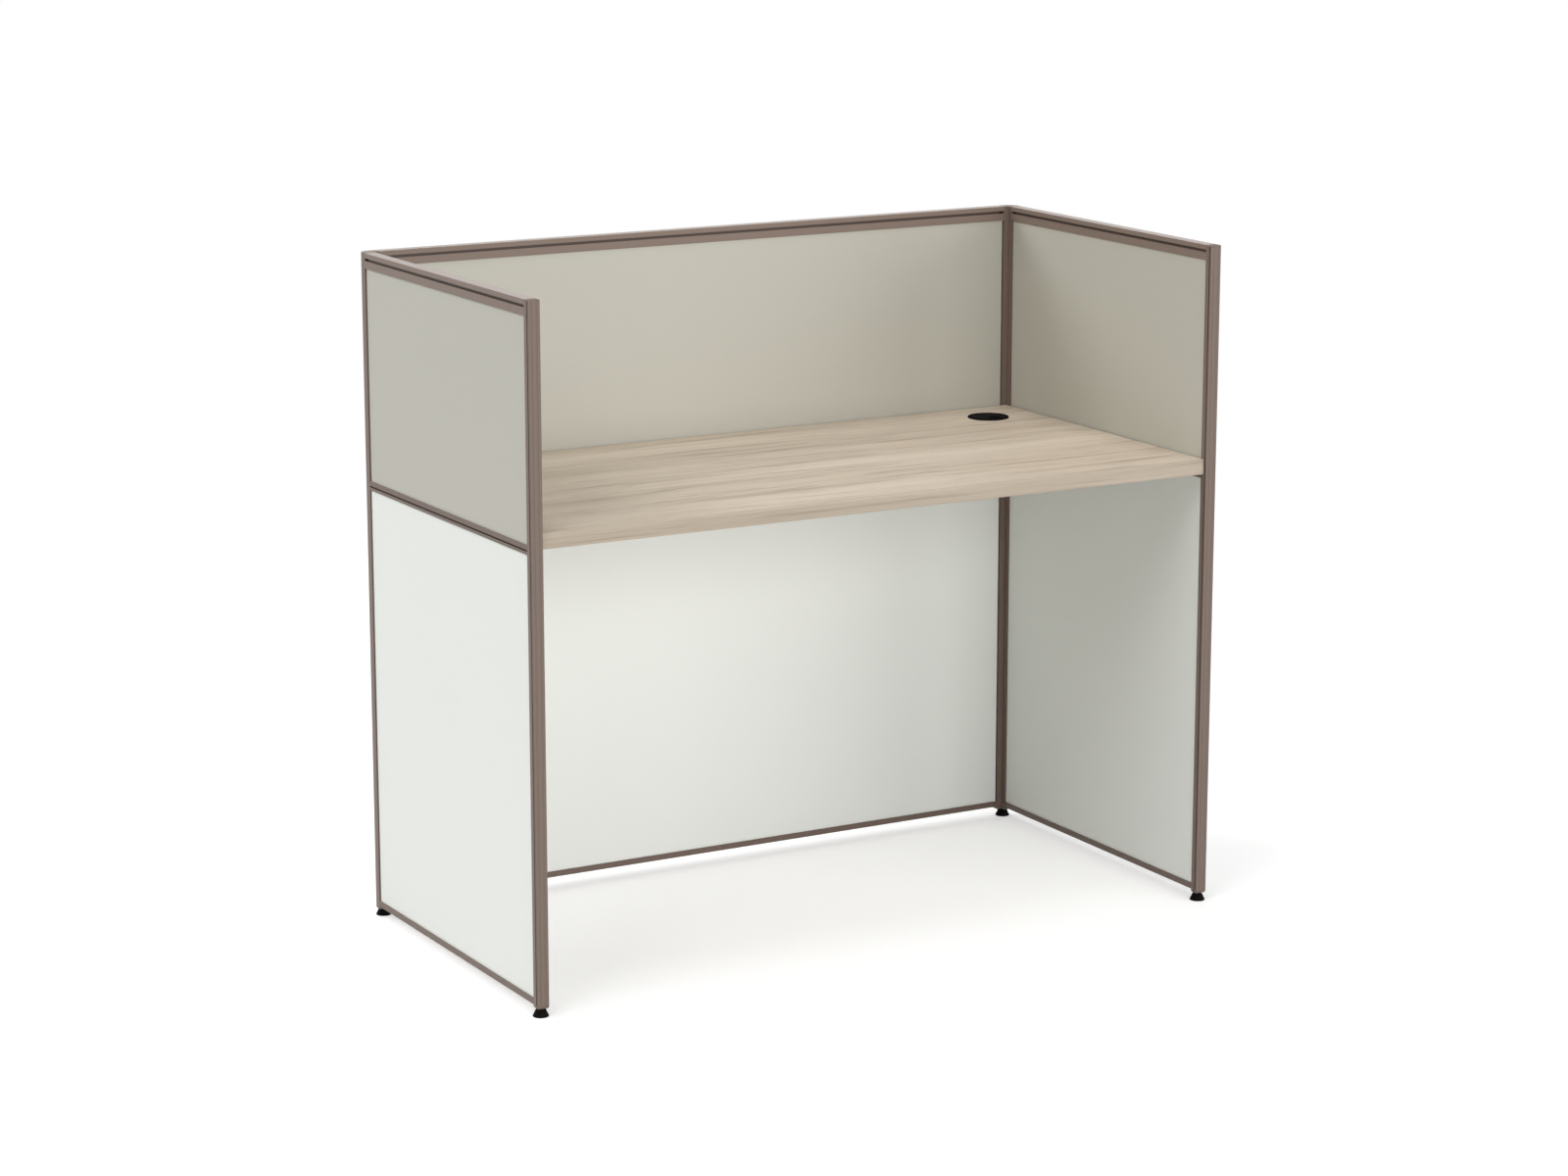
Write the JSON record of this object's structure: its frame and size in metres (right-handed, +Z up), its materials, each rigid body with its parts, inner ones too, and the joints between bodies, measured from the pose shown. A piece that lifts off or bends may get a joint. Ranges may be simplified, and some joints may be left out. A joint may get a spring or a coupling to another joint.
{
  "type": "cubicle workstation",
  "caption": "Single-seat screened workstation: a desktop held between two side screens and a rear screen of framed boards, on levelling feet.",
  "frame": {"origin": "on the floor, under the centre of the workstation", "axes": "+X to the sitter's right along the desk, +Y from the open front to the rear screen, +Z up"},
  "size_m": [1.245, 0.6225, 1.1],
  "materials": {
    "frame_taupe": "satin powder coat over extruded aluminium, warm taupe grey",
    "cap_taupe": "moulded plastic coloured to match the frame",
    "board_grey": "wood-fibre board faced in smooth grey-beige laminate",
    "board_white": "wood-fibre board faced in smooth off-white laminate",
    "oak_laminate": "chipboard faced in light oak laminate, fine grain along the width",
    "oak_edging": "light oak edge band",
    "joint_strip": "soft dark brown PVC strip",
    "black_steel": "satin black powder coat",
    "zinc_steel": "bright zinc plate",
    "black_screw": "black oxide steel",
    "black_plastic": "fine-textured black plastic"
  },
  "bodies": {
    "workstation": {"left_front_post": "frame_taupe", "left_front_cover": "frame_taupe", "left_front_cap": "cap_taupe", "left_front_shoe": "cap_taupe", "right_front_post": "frame_taupe", "right_front_cover": "frame_taupe", "right_front_cap": "cap_taupe", "right_front_shoe": "cap_taupe", "left_corner_post": "frame_taupe", "left_corner_cap": "cap_taupe", "left_corner_shoe": "cap_taupe", "right_corner_post": "frame_taupe", "right_corner_cap": "cap_taupe", "right_corner_shoe": "cap_taupe", "left_side_joint_strip": "joint_strip", "left_back_joint_strip": "joint_strip", "right_side_joint_strip": "joint_strip", "right_back_joint_strip": "joint_strip", "left_top_rail": "frame_taupe", "left_middle_rail": "frame_taupe", "left_bottom_rail": "frame_taupe", "right_top_rail": "frame_taupe", "right_middle_rail": "frame_taupe", "right_bottom_rail": "frame_taupe", "back_top_rail": "frame_taupe", "back_middle_rail": "frame_taupe", "back_bottom_rail": "frame_taupe", "left_upper_panel": "board_grey", "left_lower_panel": "board_white", "right_upper_panel": "board_grey", "right_lower_panel": "board_white", "back_upper_panel": "board_grey", "back_lower_panel": "board_white", "top_rail_keys": "zinc_steel", "middle_rail_keys": "zinc_steel", "bottom_rail_keys": "zinc_steel", "corner_foot_inserts": "zinc_steel", "front_key_screws": "black_screw", "corner_key_screws": "zinc_steel", "groove_grub_screws": "black_screw", "desktop": "oak_laminate", "desktop_edge_band": "oak_edging", "left_desk_angle": "black_steel", "right_desk_angle": "black_steel", "back_desk_angle": "black_steel", "desk_screws": "zinc_steel", "port_liner": "black_plastic"},
    "port_lid": {"port_lid": "black_plastic"},
    "port_gate": {"port_gate": "black_plastic"},
    "front_left_pad": {"front_left_foot_pad": "black_plastic"},
    "front_left_screw": {"front_left_foot_screw": "black_screw"},
    "front_right_pad": {"front_right_foot_pad": "black_plastic"},
    "front_right_screw": {"front_right_foot_screw": "black_screw"},
    "back_left_pad": {"back_left_foot_pad": "black_plastic"},
    "back_left_screw": {"back_left_foot_screw": "black_screw"},
    "back_right_pad": {"back_right_foot_pad": "black_plastic"},
    "back_right_screw": {"back_right_foot_screw": "black_screw"}
  },
  "joints": [
    {"name": "front_left_foot_level", "type": "slide", "parent": "workstation", "child": "front_left_pad", "axis": [0, 0, -1], "range_m": [0, 0.012]},
    {"name": "front_left_foot_turn", "type": "hinge", "parent": "front_left_pad", "child": "front_left_screw", "pos_m": [-0.61, -0.3, 0.02], "axis": [0, 0, -1], "range_deg": [0, 4320]},
    {"name": "front_right_foot_level", "type": "slide", "parent": "workstation", "child": "front_right_pad", "axis": [0, 0, -1], "range_m": [0, 0.012]},
    {"name": "front_right_foot_turn", "type": "hinge", "parent": "front_right_pad", "child": "front_right_screw", "pos_m": [0.61, -0.3, 0.02], "axis": [0, 0, -1], "range_deg": [0, 4320]},
    {"name": "back_left_foot_level", "type": "slide", "parent": "workstation", "child": "back_left_pad", "axis": [0, 0, -1], "range_m": [0, 0.012]},
    {"name": "back_left_foot_turn", "type": "hinge", "parent": "back_left_pad", "child": "back_left_screw", "pos_m": [-0.606, 0.296, 0.02], "axis": [0, 0, -1], "range_deg": [0, 4320]},
    {"name": "back_right_foot_level", "type": "slide", "parent": "workstation", "child": "back_right_pad", "axis": [0, 0, -1], "range_m": [0, 0.012]},
    {"name": "back_right_foot_turn", "type": "hinge", "parent": "back_right_pad", "child": "back_right_screw", "pos_m": [0.606, 0.296, 0.02], "axis": [0, 0, -1], "range_deg": [0, 4320]},
    {"name": "port_lid_lift", "type": "slide", "parent": "workstation", "child": "port_lid", "axis": [0, 0, 1], "range_m": [0, 0.08]},
    {"name": "port_gate_turn", "type": "hinge", "parent": "port_lid", "child": "port_gate", "pos_m": [0.505, 0.2, 0.749], "axis": [0, 0, 1], "range_deg": [0, 90]}
  ],
  "couplings": [
    {"joint": "front_left_foot_turn", "follows": "front_left_foot_level", "rad_per_m": 6283.2},
    {"joint": "front_right_foot_turn", "follows": "front_right_foot_level", "rad_per_m": 6283.2},
    {"joint": "back_left_foot_turn", "follows": "back_left_foot_level", "rad_per_m": 6283.2},
    {"joint": "back_right_foot_turn", "follows": "back_right_foot_level", "rad_per_m": 6283.2}
  ]
}
